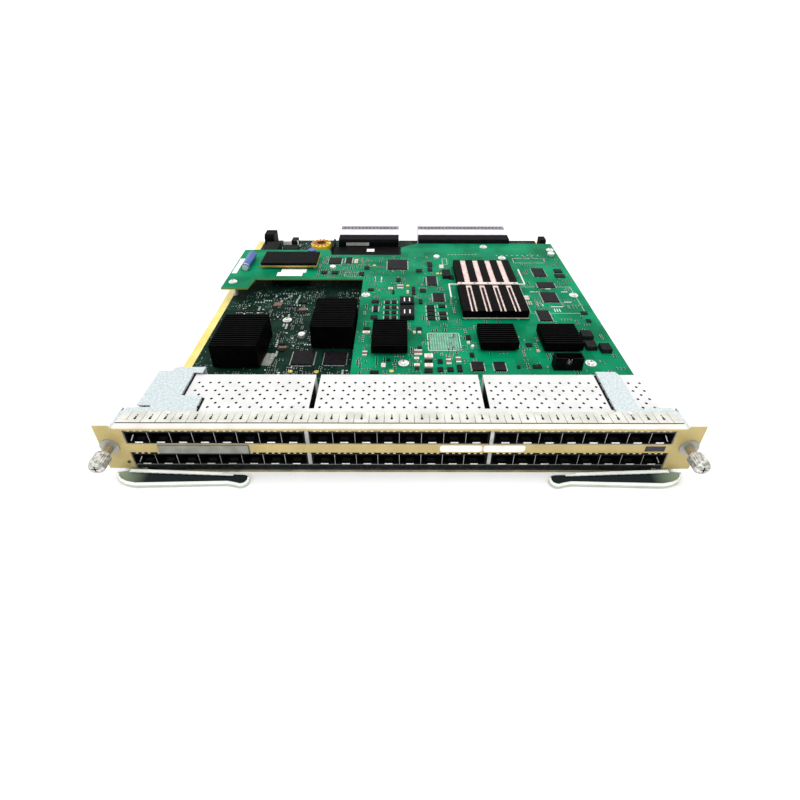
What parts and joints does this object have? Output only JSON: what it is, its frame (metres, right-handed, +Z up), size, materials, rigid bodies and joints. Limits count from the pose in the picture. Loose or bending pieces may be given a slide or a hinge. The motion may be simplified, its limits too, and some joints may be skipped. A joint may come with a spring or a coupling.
{
  "type": "switch line card",
  "caption": "Line card for a modular network switch: stacked port cages behind a punched front panel, two boards on a folded tray, ejector levers and captive screws.",
  "frame": {"origin": "on the underside of the tray, on the centre plane, level with the rear face of the front panel", "axes": "+Y from the front panel to the backplane edge, +Z up, +X to the right seen from the front"},
  "size_m": [0.3886, 0.4113, 0.0416],
  "materials": {
    "yellow_chromate_steel": "yellow chromate over zinc, satin",
    "status_lens": "dark lens",
    "grey_label": "satin label plate",
    "spring_steel": "bright spring steel",
    "galvanised_steel": "galvanised",
    "cage_steel": "tin-plated sheet",
    "black_plastic": "moulded",
    "main_board_laminate": "dark green solder mask",
    "upper_board_laminate": "green solder mask",
    "bright_steel": "bright plated",
    "white_plastic": "moulded",
    "grey_plastic": "moulded",
    "black_aluminium": "black anodised",
    "brass_board": "tinned copper board",
    "black_ferrite": "potted block",
    "yellow_core": "powder-coated core",
    "blue_sleeve": "sleeved can",
    "zinc_plated_steel": "zinc plated"
  },
  "bodies": {
    "card": {"blue_capacitor": "blue_sleeve", "board_screws": "bright_steel", "board_standoffs": "bright_steel", "box_header": "black_plastic", "bus_combs": "grey_plastic", "bus_housings": "black_plastic", "bus_insulators": "white_plastic", "bus_plinth": "black_plastic", "cage_left_cover": "cage_steel", "cage_left_dividers": "cage_steel", "cage_left_shelf": "cage_steel", "cage_left_shell": "cage_steel", "cage_left_sockets": "black_plastic", "cage_middle_cover": "cage_steel", "cage_middle_dividers": "cage_steel", "cage_middle_shelf": "cage_steel", "cage_middle_shell": "cage_steel", "cage_middle_sockets": "black_plastic", "cage_right_cover": "cage_steel", "cage_right_dividers": "cage_steel", "cage_right_shelf": "cage_steel", "cage_right_shell": "cage_steel", "cage_right_sockets": "black_plastic", "carrier_tray": "yellow_chromate_steel", "choke_blocks": "black_plastic", "coil_blocks": "black_plastic", "disc_capacitor": "blue_sleeve", "faceplate": "yellow_chromate_steel", "ferrules": "bright_steel", "gasket_strip": "spring_steel", "guide_blocks": "black_plastic", "heatsink_packages": "black_plastic", "label_plate": "grey_label", "left_bracket": "galvanised_steel", "left_screw_spring": "spring_steel", "lever_pivots": "bright_steel", "link_plugs": "black_plastic", "link_sockets": "black_plastic", "main_board": "main_board_laminate", "main_chips": "black_plastic", "main_heatsinks": "black_aluminium", "mezzanine_board": "upper_board_laminate", "mezzanine_chips": "black_plastic", "mezzanine_heatsinks": "black_aluminium", "panel_rivets": "bright_steel", "power_module_board": "brass_board", "power_module_core": "black_ferrite", "processor_clip": "spring_steel", "processor_heatsink": "black_aluminium", "processor_substrate": "upper_board_laminate", "right_bracket": "galvanised_steel", "right_screw_spring": "spring_steel", "status_led": "status_lens", "toroid_inductor": "yellow_core"},
    "left_lever": {"left_lever": "zinc_plated_steel"},
    "right_lever": {"right_lever": "zinc_plated_steel"},
    "left_screw_slider": {"left_retaining_ring": "spring_steel"},
    "right_screw_slider": {"right_retaining_ring": "spring_steel"},
    "left_screw": {"left_thumbscrew": "bright_steel"},
    "right_screw": {"right_thumbscrew": "bright_steel"}
  },
  "joints": [
    {"name": "left_lever_swing", "type": "hinge", "parent": "card", "child": "left_lever", "pos_m": [-0.1825, 0.0045, 0.0012], "axis": [0, 0, -1], "range_deg": [0, 45]},
    {"name": "right_lever_swing", "type": "hinge", "parent": "card", "child": "right_lever", "pos_m": [0.1825, 0.0045, 0.0012], "axis": [0, 0, 1], "range_deg": [0, 45]},
    {"name": "left_screw_push", "type": "slide", "parent": "card", "child": "left_screw_slider", "axis": [0, 1, 0], "range_m": [0, 0.006], "stiffness_N_per_m": 120, "springref_m": -0.004, "deforming": ["left_screw_spring"]},
    {"name": "left_screw_turn", "type": "hinge", "parent": "left_screw_slider", "child": "left_screw", "pos_m": [-0.188, 0, 0.0236], "axis": [0, 1, 0], "continuous": true},
    {"name": "right_screw_push", "type": "slide", "parent": "card", "child": "right_screw_slider", "axis": [0, 1, 0], "range_m": [0, 0.006], "stiffness_N_per_m": 120, "springref_m": -0.004, "deforming": ["right_screw_spring"]},
    {"name": "right_screw_turn", "type": "hinge", "parent": "right_screw_slider", "child": "right_screw", "pos_m": [0.188, 0, 0.0236], "axis": [0, 1, 0], "continuous": true}
  ]
}
